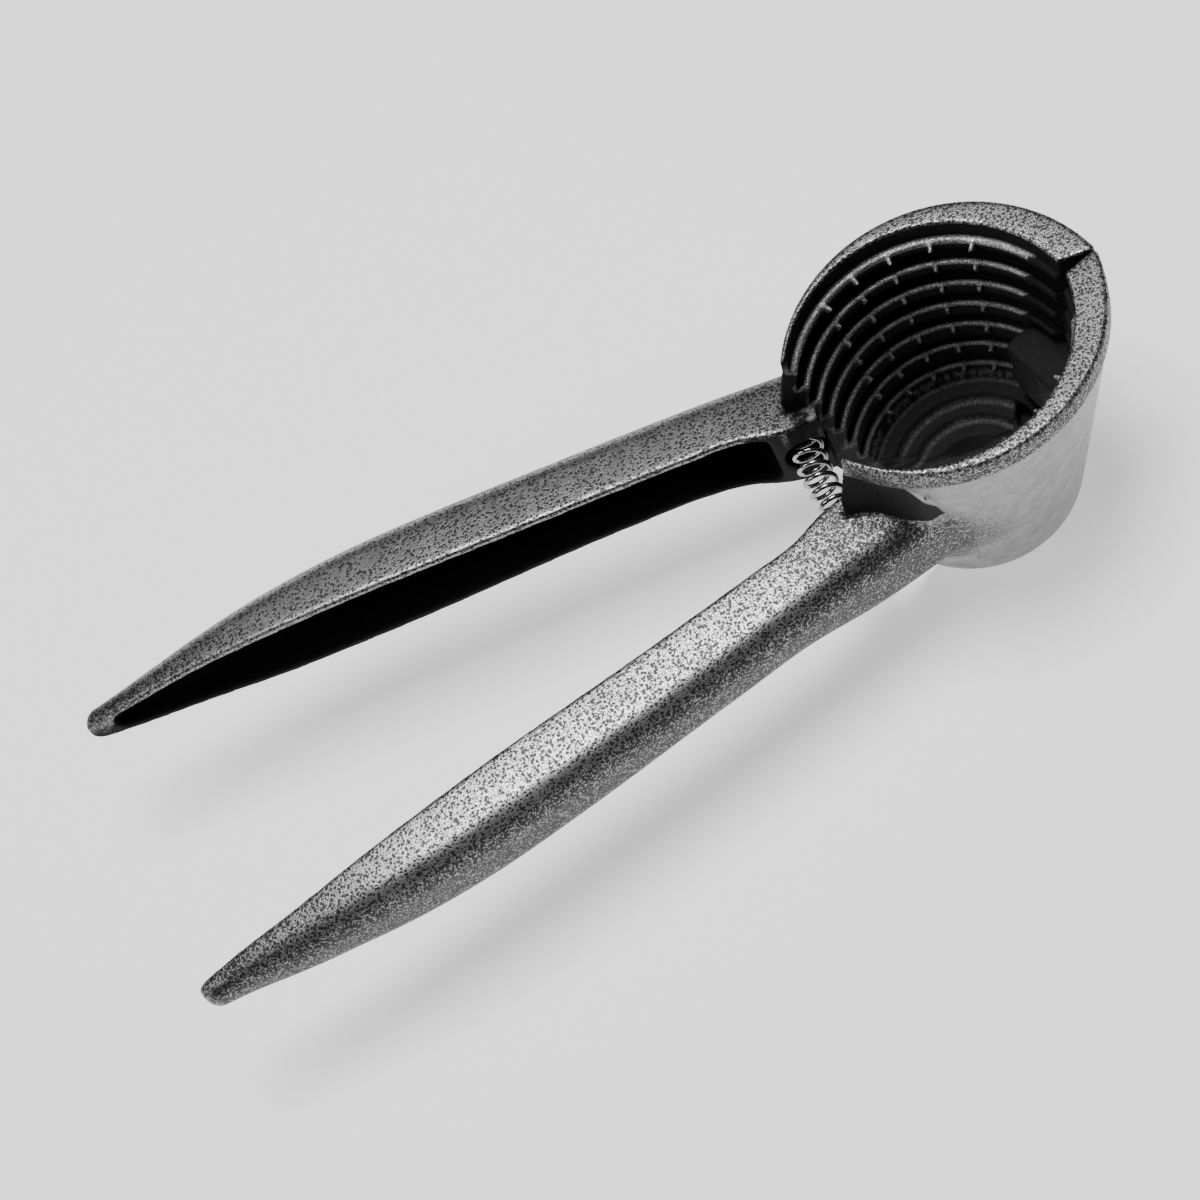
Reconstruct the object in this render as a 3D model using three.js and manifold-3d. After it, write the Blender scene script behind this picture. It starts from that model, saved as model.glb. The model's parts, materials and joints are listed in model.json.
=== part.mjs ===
// Nutcracker: two die-cast halves of a ribbed cup, each in one piece with its handle,
// joined by a steel hinge pin and pushed apart by a compression spring.
// Millimetres, +Z up, mouth of the cup upwards, handles towards -X, drawn open against its stop.
import * as THREE from 'three';
import { mergeVertices } from 'three/addons/utils/BufferGeometryUtils.js';
import Module from 'manifold-3d';

const wasm = await Module();
wasm.setup();

// ---- driving dimensions -------------------------------------------------------------
const HINGE_X = 77.58;           // hinge axis, measured from the middle of the footprint
const OPEN_HALF_ANGLE = THREE.MathUtils.degToRad(11.4);   // each half, from the closed position
const STOP_CLEARANCE = 0.15;     // each half's gap to the mirror plane where the rims meet

const CUP_HEIGHT = 50;
const RIM_RADIUS = 28;
const BASE_RADIUS = 17.5;
const BASE_ROUNDING = 4.5;
const RIM_ROUNDING = 1.2;
const CUP_TO_HINGE = 13.5;       // circle centre of the cup's wall to the hinge axis, along X
const PARTING_OFFSET = 2.5;      // parting face to the plane through the hinge axis
// Circle centres as [x from the cup's centre, y from the parting face] at the rim and at the base.
// They lie beyond the parting face, so each half holds less than half a circle.
const WALL_CENTRE = { rim: [0, -9.4], base: [-2.8, -6.2] };
const CAVITY_CENTRE = { rim: [-2.8, -8.8], base: [-2.8, -7.0] };

const MOUTH_RADIUS = 24.4;
const LEDGE_COUNT = 7;
const FIRST_LEDGE_DEPTH = 4.3;
const LEDGE_PITCH = 5.55;
const FIRST_LEDGE_RADIUS = 23.2;
const LEDGE_RADIUS_STEP = 0.88;
const LEDGE_WIDTH = 1.9;         // the first tread's width; each lower one is narrower by a step
const LEDGE_WIDTH_STEP = 0.14;
const LEDGE_LIP = 0.7;           // upright height of a ledge's nose
const LEDGE_RISE = 0.3;          // a tread's outer edge above its nose
const FLOOR_RINGS = [[16.8, 8.5], [13.2, 6.9], [10.2, 5.4]];   // radius, height of the floor's steps
const FLOOR_STEP_RUN = 1.2;      // slope of a step, seen from above
const FLOOR_RADIUS = 6.5;
const FLOOR_HEIGHT = 3.6;
const TOOTH_ANGLES = [60.5, 77.5, 95, 111, 127];
const TOOTH_REACH = [1.7, 1.3];  // how far a tooth stands in from its nose: first ledge, the others
const TOOTH_WIDTH = 0.9;
const TOOTH_HEIGHT = 2.8;
const TOOTH_ROOT = 0.9;          // a tooth's root beyond its nose
const TOOTH_DROP = 0.2;          // a tooth's top below its nose

// Web between rim and handle, thicker than the cup's wall: [radius, height], on the handles' side only.
const ROOT_WEB = [[0, 3], [20.5, 3], [23.5, 9], [25.4, 15], [25.6, 25.5], [28.2, 28.6], [27.6, 47], [0, 47]];
const ROOT_WEB_EDGE = -17.5;
const FAR = 60;                  // beyond every face of the object

const PIN_RADIUS = 1.25;
const PIN_BOTTOM = 4.2;
const PIN_TOP = 23.5;
const PIN_CLEARANCE = 0.12;
const BORE_TOP = 23.9;           // the bore is blind above and open below
const KNUCKLE_RADIUS = 7.3;
const BARREL_RADIUS = 2.7;
const KNUCKLE_INNER_FACE = 2.7;  // flat inner face to the hinge axis
const KNUCKLE_GAP = 0.4;
// Heights of the knuckles: the left half's tongue turns between the right half's two knuckles.
const LOWER_KNUCKLE = [4.2, 7.6];
const TONGUE = [8.0, 11.4];
const UPPER_KNUCKLE = [11.8, 25.8];
const STOP_BOTTOM = 30;          // the halves meet at the mirror plane above this height
const STOP_START = 7;            // and outside this distance from the hinge axis

const SPRING_ARC_RADIUS = 41.3;  // the spring's centre line turns about the hinge axis
const SPRING_HEIGHT = 24.8;
const SPRING_MEAN_RADIUS = 2.6;
const SPRING_WIRE_RADIUS = 0.42;
const SPRING_TURNS = 10;
const SPRING_END_ANGLE = THREE.MathUtils.degToRad(16.6);
const SEAT_RADIUS = 3.9;
const SEAT_DEPTH = 4.0;
const SEAT_FACE = -1.2;          // the handle's inner face at the spring, from the parting face

const CHANNEL_WALL = 2.0;
const CHANNEL_SIDE_WALL = 2.4;
const CHANNEL_ROOT = -36;        // the channel's ends, in the handle outlines' x
const CHANNEL_TIP = -149;
const CHANNEL_POINT = [[-152, 30.8], [-152, 29.0]];
const ROUND_SEGMENTS = 72;
const STEPS_PER_TURN = 14;

// Handle outlines, in the closed position: x from the cup's circle centre towards the tip,
// y from the parting face outwards, z above the base.
const HANDLE_INNER = [[6, 3], [-26.6, 3], [-26.6, -2.2], [-46, -2.4], [-70, -3.7], [-110, -6.4], [-136, -8.1],
  [-152, -9.7]];
const HANDLE_TIP = [[-155.5, -9.9], [-156.54, -8.9], [-155.5, -7.5]];
const HANDLE_OUTER = [[-142, -2.8], [-129, 0.6], [-112, 4.0], [-90, 6.4], [-60, 8.5], [-30, 9.9], [-8, 10.8]];
const HANDLE_TOP = [[-8, 33.0], [-40, 34.8], [-70, 35.6], [-110, 37.2], [-128, 36.4], [-140, 35.0],
  [-150, 33.6]];
const HANDLE_NOSE = [[-154.4, 32.5], [-156.2, 31.0], [-156.54, 28.8], [-155.6, 27.0]];
const HANDLE_BOTTOM = [[-151, 26.1], [-142, 24.4], [-128, 22.4], [-110, 21.1], [-60, 21.4], [-46, 20.9],
  [-34, 17.8], [-8, 15.0]];
const HANDLE_TOP_AT_CUP = 33;
const HANDLE_FOOT_AT_CUP = 15;
const HANDLE_END_AT_CUP = 6;     // the handle's outlines run on inside the cup's wall up to this x

// ---- solids -------------------------------------------------------------------------
function toSolid(geometry) {
  geometry.deleteAttribute('normal');
  geometry.deleteAttribute('uv');
  const merged = mergeVertices(geometry, 1e-4);
  return new wasm.Manifold(new wasm.Mesh({
    numProp: 3,
    vertProperties: new Float32Array(merged.attributes.position.array),
    triVerts: new Uint32Array(merged.index.array),
  }));
}

function toGeometry(solid) {
  const mesh = solid.getMesh();
  const geometry = new THREE.BufferGeometry();
  geometry.setAttribute('position', new THREE.BufferAttribute(new Float32Array(mesh.vertProperties), 3));
  geometry.setIndex(new THREE.BufferAttribute(new Uint32Array(mesh.triVerts), 1));
  geometry.computeVertexNormals();
  return geometry;
}

// A solid of revolution from [radius, height] points that start and end on the axis. The axis
// leans, so that the circle centre moves evenly from its place at the base to its place at the rim.
function turned(profile, centre, side) {
  const points = profile.map(([radius, height]) => new THREE.Vector2(radius, height));
  const geometry = new THREE.LatheGeometry(points, ROUND_SEGMENTS);
  geometry.rotateX(Math.PI / 2);
  const leanX = (centre.rim[0] - centre.base[0]) / CUP_HEIGHT;
  const leanY = side * (centre.rim[1] - centre.base[1]) / CUP_HEIGHT;
  geometry.applyMatrix4(new THREE.Matrix4().set(
    1, 0, leanX, centre.base[0] - CUP_TO_HINGE,
    0, 1, leanY, side * (centre.base[1] + PARTING_OFFSET),
    0, 0, 1, 0,
    0, 0, 0, 1,
  ));
  return toSolid(geometry);
}

function centreAt(centre, height) {
  const share = height / CUP_HEIGHT;
  return centre.rim.map((value, axis) => value * share + centre.base[axis] * (1 - share));
}

// A cylinder about the hinge axis.
function upright(radius, bottom, top) {
  const geometry = new THREE.CylinderGeometry(radius, radius, top - bottom, 48);
  geometry.rotateX(Math.PI / 2);
  geometry.translate(0, 0, (bottom + top) / 2);
  return toSolid(geometry);
}

function block(minCorner, maxCorner) {
  const size = maxCorner.map((value, axis) => value - minCorner[axis]);
  const geometry = new THREE.BoxGeometry(...size);
  geometry.translate(...minCorner.map((value, axis) => value + size[axis] / 2));
  return toSolid(geometry);
}

function prism(shape, length) {
  return new THREE.ExtrudeGeometry(shape, { depth: length, bevelEnabled: false, curveSegments: 4, steps: 1 });
}

// ---- cup ----------------------------------------------------------------------------
function outerWallRadius(height) {
  return BASE_RADIUS + (RIM_RADIUS - BASE_RADIUS) * height / CUP_HEIGHT;
}

function outerProfile() {
  const profile = [[0, 0]];
  for (let step = 0; step <= 5; step++) {
    const angle = step / 5 * Math.PI / 2;
    const inset = BASE_ROUNDING * (1 - Math.sin(angle));
    const height = BASE_ROUNDING * (1 - Math.cos(angle));
    profile.push([outerWallRadius(height) - inset, height]);
  }
  for (let step = 0; step <= 3; step++) {
    const angle = step / 3 * Math.PI / 2;
    const height = CUP_HEIGHT - RIM_ROUNDING * (1 - Math.sin(angle));
    profile.push([outerWallRadius(height) - RIM_ROUNDING * (1 - Math.cos(angle)), height]);
  }
  profile.push([0, CUP_HEIGHT]);
  return profile;
}

// Ledges like stair treads: a flat tread, an upright nose, then a face that runs back outwards.
function cavityProfile() {
  const profile = [[0, FLOOR_HEIGHT]];
  let inner = FLOOR_RADIUS;
  let level = FLOOR_HEIGHT;
  for (const [radius, height] of [...FLOOR_RINGS].reverse()) {
    profile.push([inner, level], [inner + FLOOR_STEP_RUN, height]);
    inner = radius;
    level = height;
  }
  profile.push([inner, level]);
  for (let ledge = LEDGE_COUNT - 1; ledge >= 0; ledge--) {
    const height = CUP_HEIGHT - FIRST_LEDGE_DEPTH - ledge * LEDGE_PITCH;
    const radius = FIRST_LEDGE_RADIUS - ledge * LEDGE_RADIUS_STEP;
    const below = height - LEDGE_LIP;
    profile.push([radius, below], [radius, height]);
    const back = radius + LEDGE_WIDTH - ledge * LEDGE_WIDTH_STEP;
    profile.push([Math.min(back, MOUTH_RADIUS), height + LEDGE_RISE]);
  }
  profile.push([MOUTH_RADIUS, CUP_HEIGHT + 1], [0, CUP_HEIGHT + 1]);
  return profile;
}

// Small wedges that stand inwards from each nose and run out on the face below it.
function tooth(side, ledge, degrees) {
  const top = CUP_HEIGHT - FIRST_LEDGE_DEPTH - ledge * LEDGE_PITCH - TOOTH_DROP;
  const nose = FIRST_LEDGE_RADIUS - ledge * LEDGE_RADIUS_STEP;
  const reach = TOOTH_REACH[Math.min(ledge, 1)];
  const root = nose + TOOTH_ROOT;
  const outline = [[nose - reach, top], [root, top], [root, top - TOOTH_HEIGHT]];
  const geometry = prism(new THREE.Shape(outline.map(([x, y]) => new THREE.Vector2(x, y))), TOOTH_WIDTH);
  geometry.translate(0, 0, -TOOTH_WIDTH / 2);
  geometry.rotateX(Math.PI / 2);
  geometry.rotateZ(side * THREE.MathUtils.degToRad(degrees));
  const [x, y] = centreAt(CAVITY_CENTRE, top);
  geometry.translate(x - CUP_TO_HINGE, side * (y + PARTING_OFFSET), 0);
  return toSolid(geometry);
}

function teeth(side) {
  const ledges = Array.from({ length: LEDGE_COUNT }, (_, ledge) => ledge);
  return ledges.flatMap((ledge) => TOOTH_ANGLES.map((degrees) => tooth(side, ledge, degrees)));
}

// ---- handle -------------------------------------------------------------------------
function outlinePrism(points, length) {
  const shape = new THREE.Shape(points.map(([x, y]) => new THREE.Vector2(x, y)));
  return prism(shape, length);
}

// The plan outline, upright through the whole height, meets the side outline, across the whole width.
function fromTwoOutlines(plan, elevation, side) {
  const seenFromAbove = plan.map(([x, y]) => [x - CUP_TO_HINGE, side * (y + PARTING_OFFSET)]);
  const seenFromTheSide = elevation.map(([x, z]) => [x - CUP_TO_HINGE, z]);
  const uprightPrism = outlinePrism(seenFromAbove, CUP_HEIGHT);
  const acrossPrism = outlinePrism(seenFromTheSide, 2 * FAR);
  acrossPrism.rotateX(Math.PI / 2);
  acrossPrism.translate(0, FAR, 0);
  return toSolid(uprightPrism).intersect(toSolid(acrossPrism));
}

function smooth(points) {
  const curve = new THREE.SplineCurve(points.map(([x, y]) => new THREE.Vector2(x, y)));
  return curve.getPoints(2 * points.length - 1).map((point) => [point.x, point.y]);
}

function handleBody(side) {
  const outerEnd = [HANDLE_END_AT_CUP, HANDLE_OUTER.at(-1)[1]];
  const plan = [...HANDLE_INNER, ...HANDLE_TIP, ...smooth(HANDLE_OUTER), outerEnd];
  const elevation = [...smooth(HANDLE_TOP), ...HANDLE_NOSE, ...smooth(HANDLE_BOTTOM),
    [HANDLE_END_AT_CUP, HANDLE_FOOT_AT_CUP], [HANDLE_END_AT_CUP, HANDLE_TOP_AT_CUP]];
  return fromTwoOutlines(plan, elevation, side);
}

// The stretch of a handle outline beside the channel, moved inwards by a wall.
function besideChannel(outline, wall) {
  const stretch = smooth(outline).filter(([x]) => x > CHANNEL_TIP && x < CHANNEL_ROOT);
  return stretch.map(([x, value]) => [x, value + wall]);
}

// The channel is open towards the other handle and keeps a wall above, below and outside.
function handleChannel(side) {
  const outer = besideChannel(HANDLE_OUTER, -CHANNEL_SIDE_WALL);
  const top = besideChannel(HANDLE_TOP, -CHANNEL_WALL);
  const bottom = besideChannel(HANDLE_BOTTOM, CHANNEL_WALL);
  const openSide = -2 * CHANNEL_SIDE_WALL + HANDLE_INNER.at(-1)[1];
  const plan = [[CHANNEL_ROOT, openSide], [CHANNEL_TIP, openSide], ...outer, [CHANNEL_ROOT, outer.at(-1)[1]]];
  const elevation = [[CHANNEL_ROOT, top[0][1]], ...top, ...CHANNEL_POINT, ...bottom,
    [CHANNEL_ROOT, bottom.at(-1)[1]]];
  return fromTwoOutlines(plan, elevation, side);
}

// A round pocket in the handle's inner face, open towards the other handle.
function springSeat(side) {
  const length = 2 * SEAT_DEPTH;
  const geometry = new THREE.CylinderGeometry(SEAT_RADIUS, SEAT_RADIUS, length, 32);
  const bottomY = PARTING_OFFSET + SEAT_FACE + SEAT_DEPTH;
  geometry.translate(-SPRING_ARC_RADIUS, side * (bottomY - length / 2), SPRING_HEIGHT);
  return toSolid(geometry);
}

// ---- hinge --------------------------------------------------------------------------
function knuckle(levels, outerWall) {
  const [bottom, top] = levels;
  const disc = upright(KNUCKLE_RADIUS, bottom, top);
  const innerCut = block([-FAR, -FAR, 0], [-KNUCKLE_INNER_FACE, FAR, FAR]);
  return disc.subtract(innerCut).intersect(outerWall).add(upright(BARREL_RADIUS, bottom, top));
}

function knucklePocket(levels) {
  const [bottom, top] = levels;
  return upright(KNUCKLE_RADIUS + KNUCKLE_GAP, bottom - KNUCKLE_GAP / 2, top + KNUCKLE_GAP / 2);
}

// ---- one half: cup, handle and hinge knuckles in one casting, hinge axis at the origin ----
function halfCasting(side, ownKnuckles, otherKnuckles) {
  const outerWall = turned(outerProfile(), WALL_CENTRE, side);
  const rootWeb = turned(ROOT_WEB, { rim: WALL_CENTRE.rim, base: WALL_CENTRE.rim }, side)
    .intersect(block([-FAR, -FAR, 0], [ROOT_WEB_EDGE - CUP_TO_HINGE, FAR, FAR]));
  const partingCut = block([-FAR, side > 0 ? -FAR : -PARTING_OFFSET, -FAR],
    [FAR, side > 0 ? PARTING_OFFSET : FAR, FAR]);
  const cup = outerWall.add(rootWeb).subtract(partingCut);
  const handle = handleBody(side).subtract(handleChannel(side)).subtract(springSeat(side));
  let half = cup.add(handle).subtract(turned(cavityProfile(), CAVITY_CENTRE, side));
  for (const wedge of teeth(side)) {
    half = half.add(wedge.intersect(cup));
  }
  for (const levels of otherKnuckles) {
    half = half.subtract(knucklePocket(levels));
  }
  for (const levels of ownKnuckles) {
    half = half.add(knuckle(levels, outerWall));
  }
  half = half.subtract(upright(PIN_RADIUS + PIN_CLEARANCE, 0, BORE_TOP));
  return half.subtract(stopCut(side));
}

// Outside the hinge axis the open halves meet at the mirror plane, each keeping a small gap to it.
function stopCut(side) {
  const geometry = new THREE.BoxGeometry(FAR, FAR, 2 * FAR);
  geometry.translate(FAR / 2, side * (STOP_CLEARANCE - FAR / 2), 0);
  geometry.rotateZ(side * OPEN_HALF_ANGLE);
  return toSolid(geometry).intersect(block([STOP_START, -FAR, STOP_BOTTOM], [FAR, FAR, FAR]));
}

// ---- spring -------------------------------------------------------------------------
class SpringLine extends THREE.Curve {
  getPoint(t, target = new THREE.Vector3()) {
    const along = SPRING_END_ANGLE * (2 * t - 1);
    const turn = 2 * Math.PI * SPRING_TURNS * t;
    const reach = SPRING_ARC_RADIUS + SPRING_MEAN_RADIUS * Math.cos(turn);
    return target.set(
      -reach * Math.cos(along),
      -reach * Math.sin(along),
      SPRING_HEIGHT + SPRING_MEAN_RADIUS * Math.sin(turn),
    );
  }
}

function springGeometry() {
  const section = new THREE.Shape();
  for (let corner = 0; corner < 6; corner++) {
    const angle = corner / 6 * 2 * Math.PI;
    const x = SPRING_WIRE_RADIUS * Math.cos(angle);
    const y = SPRING_WIRE_RADIUS * Math.sin(angle);
    if (corner === 0) section.moveTo(x, y);
    else section.lineTo(x, y);
  }
  return new THREE.ExtrudeGeometry(section, {
    steps: SPRING_TURNS * STEPS_PER_TURN,
    bevelEnabled: false,
    extrudePath: new SpringLine(),
  });
}

// ---- assembly -----------------------------------------------------------------------
const castMetal = { roughness: 0.45, metalness: 0.6 };
const brightSteel = { roughness: 0.25, metalness: 1.0 };

function meshOf(name, geometry, finish, colour) {
  const mesh = new THREE.Mesh(geometry, new THREE.MeshStandardMaterial({ color: colour, ...finish }));
  mesh.name = name;
  return mesh;
}

const leftHalf = meshOf('left_half',
  toGeometry(halfCasting(1, [TONGUE], [LOWER_KNUCKLE, UPPER_KNUCKLE])), castMetal, 0xa9abad);
leftHalf.rotation.z = -OPEN_HALF_ANGLE;

const rightHalf = meshOf('right_half',
  toGeometry(halfCasting(-1, [LOWER_KNUCKLE, UPPER_KNUCKLE], [TONGUE])), castMetal, 0xa9abad);
rightHalf.rotation.z = OPEN_HALF_ANGLE;

const hingePin = meshOf('hinge_pin',
  toGeometry(upright(PIN_RADIUS, PIN_BOTTOM, PIN_TOP)), brightSteel, 0xc8cacc);

const spring = meshOf('spring', springGeometry(), brightSteel, 0xb9bcc0);

const group = new THREE.Group();
group.add(leftHalf, rightHalf, hingePin, spring);
group.position.x = HINGE_X;

export default group;
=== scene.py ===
# Looks of the nutcracker. The two castings are modelled as distance fields, so that their walls,
# ledges and handles run into each other with cast radii. They are then meshed, their zones are
# marked, and a hammered enamel reads the zones. The spring and the pin are plain meshes.
# Casting dimensions are in millimetres, in a closed half's own axes: u from the cup's circle centre
# towards the hinge, v outwards from the parting face, z up from the base. Both halves use the same
# axes; apart from the knuckles, the right half is the mirror image of the left one.
import json
import math

import bpy
import numpy as np
from mathutils import Matrix, Vector


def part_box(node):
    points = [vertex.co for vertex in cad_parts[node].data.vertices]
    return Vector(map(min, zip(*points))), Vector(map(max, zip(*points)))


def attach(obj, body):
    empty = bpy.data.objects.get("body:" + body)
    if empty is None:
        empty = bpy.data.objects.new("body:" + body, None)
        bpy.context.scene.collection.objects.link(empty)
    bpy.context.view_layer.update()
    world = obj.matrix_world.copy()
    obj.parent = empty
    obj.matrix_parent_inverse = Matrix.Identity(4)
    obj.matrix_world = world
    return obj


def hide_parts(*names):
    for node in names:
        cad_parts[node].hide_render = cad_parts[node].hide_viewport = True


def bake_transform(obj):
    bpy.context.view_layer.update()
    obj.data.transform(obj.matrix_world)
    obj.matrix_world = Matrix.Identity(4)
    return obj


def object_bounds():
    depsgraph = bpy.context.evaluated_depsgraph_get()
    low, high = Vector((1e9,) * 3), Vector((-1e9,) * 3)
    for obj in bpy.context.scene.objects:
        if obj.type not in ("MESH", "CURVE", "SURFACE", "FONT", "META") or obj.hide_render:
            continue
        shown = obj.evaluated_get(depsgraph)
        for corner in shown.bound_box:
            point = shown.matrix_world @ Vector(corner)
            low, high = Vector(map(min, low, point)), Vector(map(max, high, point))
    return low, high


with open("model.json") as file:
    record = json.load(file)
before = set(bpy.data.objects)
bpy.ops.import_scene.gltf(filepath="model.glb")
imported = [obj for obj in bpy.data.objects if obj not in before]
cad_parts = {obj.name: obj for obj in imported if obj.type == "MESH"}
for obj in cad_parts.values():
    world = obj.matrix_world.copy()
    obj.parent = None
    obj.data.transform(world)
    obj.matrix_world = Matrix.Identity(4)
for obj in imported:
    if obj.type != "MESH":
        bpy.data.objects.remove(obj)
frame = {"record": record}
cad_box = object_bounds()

MM = 0.001

# ---- places taken from the frame ------------------------------------------------------
squeeze = frame["record"]["behaviour"]["joints"][0]
HINGE = [value / MM for value in squeeze["pos_m"]]
spring_low, spring_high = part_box("spring")
pin_low, pin_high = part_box("hinge_pin")
CUP_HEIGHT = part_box("left_half")[1][2] / MM
SPRING_AXIS_HEIGHT = (spring_low[2] + spring_high[2]) / 2 / MM

# ---- casting dimensions, mm -------------------------------------------------------------
OPEN_HALF_ANGLE = math.radians(11.4)
CUP_TO_HINGE = 13.5
PARTING_OFFSET = 2.5
STOP_CLEARANCE = 0.15
STOP_START = CUP_TO_HINGE + 6
# Places of the cone's and the cavity's axes, which lean between the base and the rim.
WALL_CENTRE = {"rim": (0.0, -9.4), "base": (-2.8, -6.2)}
CAVITY_CENTRE = {"rim": (-2.8, -8.8), "base": (-2.8, -7.0)}

RIM_RADIUS = 28.0
RIM_BAND = 4.0
RIM_STEP = 0.35
RIM_ROUNDING = 0.7
BASE_RADIUS = 17.5
BASE_ROUNDING = 4.5
BASE_CORNER_RADIUS = BASE_RADIUS - BASE_ROUNDING + 0.8
MOUTH_RADIUS = 24.4
LEDGE_COUNT = 7
FIRST_LEDGE_DEPTH = 4.3
LEDGE_PITCH = 5.55
FIRST_LEDGE_RADIUS = 23.2
LEDGE_RADIUS_STEP = 0.88
LEDGE_WIDTH = 2.1
LEDGE_WIDTH_STEP = 0.16
LEDGE_LIP = 0.8
LEDGE_NOSE = 0.55
TREAD_DISH = 0.5
# Outer radius and height of the flat rings about the floor, and the width of the slope up to each.
FLOOR_RINGS = [(16.8, 8.5), (13.2, 6.9), (10.2, 5.4)]
RING_SLOPE = 1.2
FLOOR_RADIUS = 6.5
FLOOR_HEIGHT = 3.6
# The floor's parting edge reaches a little past the parting face between these places along u.
FLOOR_LIP = 1.3
FLOOR_LIP_TOP = 6.5
FLOOR_LIP_ENDS = (-17.0, 5.5)
TOOTH_ANGLES = [60.5, 77.5, 95, 111, 127]
# How far a tooth stands inwards: on the first ledge, and on the ones below it.
TOOTH_REACH = (1.8, 1.35)
TOOTH_HALF_WIDTH = 0.36
TOOTH_HEIGHT = 2.6
TOOTH_DROP = 0.1
TOOTH_WINDOW = 3.2

# Height and radius of the web's outer face, which runs about the rim's centre.
WEB_PROFILE = [(3.0, 20.5), (9.0, 23.5), (15.0, 25.4), (25.5, 25.6), (28.6, 27.6), (47.0, 27.6)]
# Near the parting face the web is wider: above the spring by the flare, below it by the foot.
WEB_FLARE = 1.0
WEB_FLARE_SLOPE = 0.3
WEB_FLARE_REACH = 8
WEB_FLARE_BOTTOM = 28.6
WEB_FLARE_RISE = 2
WEB_FLARE_DEPTH = 4
WEB_FOOT_FLARE = 2.4
WEB_FOOT_TOP = 20.8
WEB_SIDE = 8.66
WEB_SIDE_LEAN = 0.2
WEB_SIDE_INSET = 0.4
WEB_LIMIT = -14.0

# Outlines of the handle along u. Outer and inner are places along v; top and bottom are heights.
HANDLE_OUTER = [(-157, -7.0), (-151, -5.6), (-142, -2.8), (-129, 0.6), (-112, 4.0), (-90, 6.4),
                (-60, 8.5), (-30, 9.9), (-8, 10.8)]
HANDLE_TOP = [(-157, 32.4), (-152, 33.3), (-142, 34.9), (-128, 36.5), (-105, 37.3), (-71, 36.0),
              (-40, 34.9), (-8, 33.0)]
HANDLE_BOTTOM = [(-157, 27.2), (-148, 25.7), (-136, 23.4), (-122, 21.6), (-109, 21.1), (-60, 21.4),
                 (-46, 20.8), (-34, 17.6), (-8, 15.0)]
HANDLE_INNER = [(-157, -10.1), (-148, -9.5), (-136, -8.15), (-120, -7.1), (-90, -5.2), (-60, -3.1),
                (-46, -2.3), (-38, -2.0), (-33, -2.9), (-29, -3.2), (-25, -2.6), (-8, -2.4)]
HANDLE_END = -155.9
HANDLE_ROOT = -8.0
END_ROUNDING = 2.0
SHOULDER = 4.4
SHOULDER_SHARE = 0.7
LOWER_SHOULDER = 5.4
CROWN = 1.3
HANDLE_WIDTH = 11.0
CHANNEL_WALL = 1.5
CHANNEL_ENDS = (-151.5, -33.0)
# From here towards the tip the handle may lie past the parting plane; the limit cuts nothing.
PARTING_END = -24
BEYOND_PARTING = -12.0

KNUCKLE_RADIUS = 7.3
BARREL_RADIUS = 2.7
KNUCKLE_INNER_FACE = 2.7
KNUCKLE_GAP = 0.4
PIN_BORE = 1.37
LOWER_KNUCKLE = (4.2, 7.6)
TONGUE = (8.0, 11.4)
UPPER_KNUCKLE = (11.8, 25.8)
BORE_TOP = 23.9
STOP_BOTTOM = 30.0

# Radii of the rounded edges and of the fillets.
FINE_EDGE = 0.2
SMALL_EDGE = 0.3
PARTING_EDGE = 0.4
EDGE = 0.5
SEAT_EDGE = 0.35
TOOTH_EDGE = 0.35
SIDE_EDGE = 0.25
BORE_EDGE = 0.15
CHANNEL_ROUNDINGS = (2.5, 2.0)
ROOT_ROUNDING = 1.0
HANDLE_FILLET = 1.2

# How bright the painted highlights on the ledges' edges are, from the first ledge down; their fall with
# depth is painted shade.
LEDGE_HIGHLIGHT = [0.95, 0.62, 0.5, 0.4, 0.34, 0.28, 0.22]
RING_HIGHLIGHT = 0.16
TOOTH_SHARE = 0.75
FIRST_HIGHLIGHT_WIDTH = 0.7
HIGHLIGHT_WIDTH = 0.45
HIGHLIGHT_SPREAD = 1.6
HIGHLIGHT_OFFSET = 0.3

SPRING_ARC_RADIUS = 41.3
SPRING_TURNS = 10
SPRING_WIRE_RADIUS = 0.42
SPRING_STEPS_PER_TURN = 44
SPRING_END_ANGLE = 0.012
WIRE_SIDES = 12
SEAT_RADIUS = 3.9
SEAT_FLOOR = 1.3
PIN_SIDES = 48
PIN_CHAMFER = 0.3

# ---- distance fields -----------------------------------------------------------------
def round_cut(a, b, radius):
    """The part inside both a and b, with the edge between them rounded."""
    corner = np.hypot(np.maximum(a + radius, 0), np.maximum(b + radius, 0))
    return np.minimum(np.maximum(a, b), -radius) + corner


def round_join(a, b, radius):
    """Everything inside a or b, with a fillet of the radius between them."""
    corner = np.hypot(np.maximum(radius - a, 0), np.maximum(radius - b, 0))
    return np.maximum(np.minimum(a, b), radius) - corner


def smooth_line(points):
    """A function through the points whose slope has no jumps."""
    places, values = np.array(points, float).T
    slopes = np.gradient(values, places)

    def line(place):
        index = np.clip(np.searchsorted(places, place) - 1, 0, len(places) - 2)
        width = places[index + 1] - places[index]
        t = np.clip((place - places[index]) / width, 0, 1)
        start = (2 * t ** 3 - 3 * t ** 2 + 1) * values[index]
        start = start + (t ** 3 - 2 * t ** 2 + t) * width * slopes[index]
        end = (3 * t ** 2 - 2 * t ** 3) * values[index + 1]
        end = end + (t ** 3 - t ** 2) * width * slopes[index + 1]
        return start + end
    return line


def straight_line(points):
    """A function that runs straight from point to point."""
    places, values = np.array(points, float).T
    return lambda place: np.interp(place, places, values)


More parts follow.
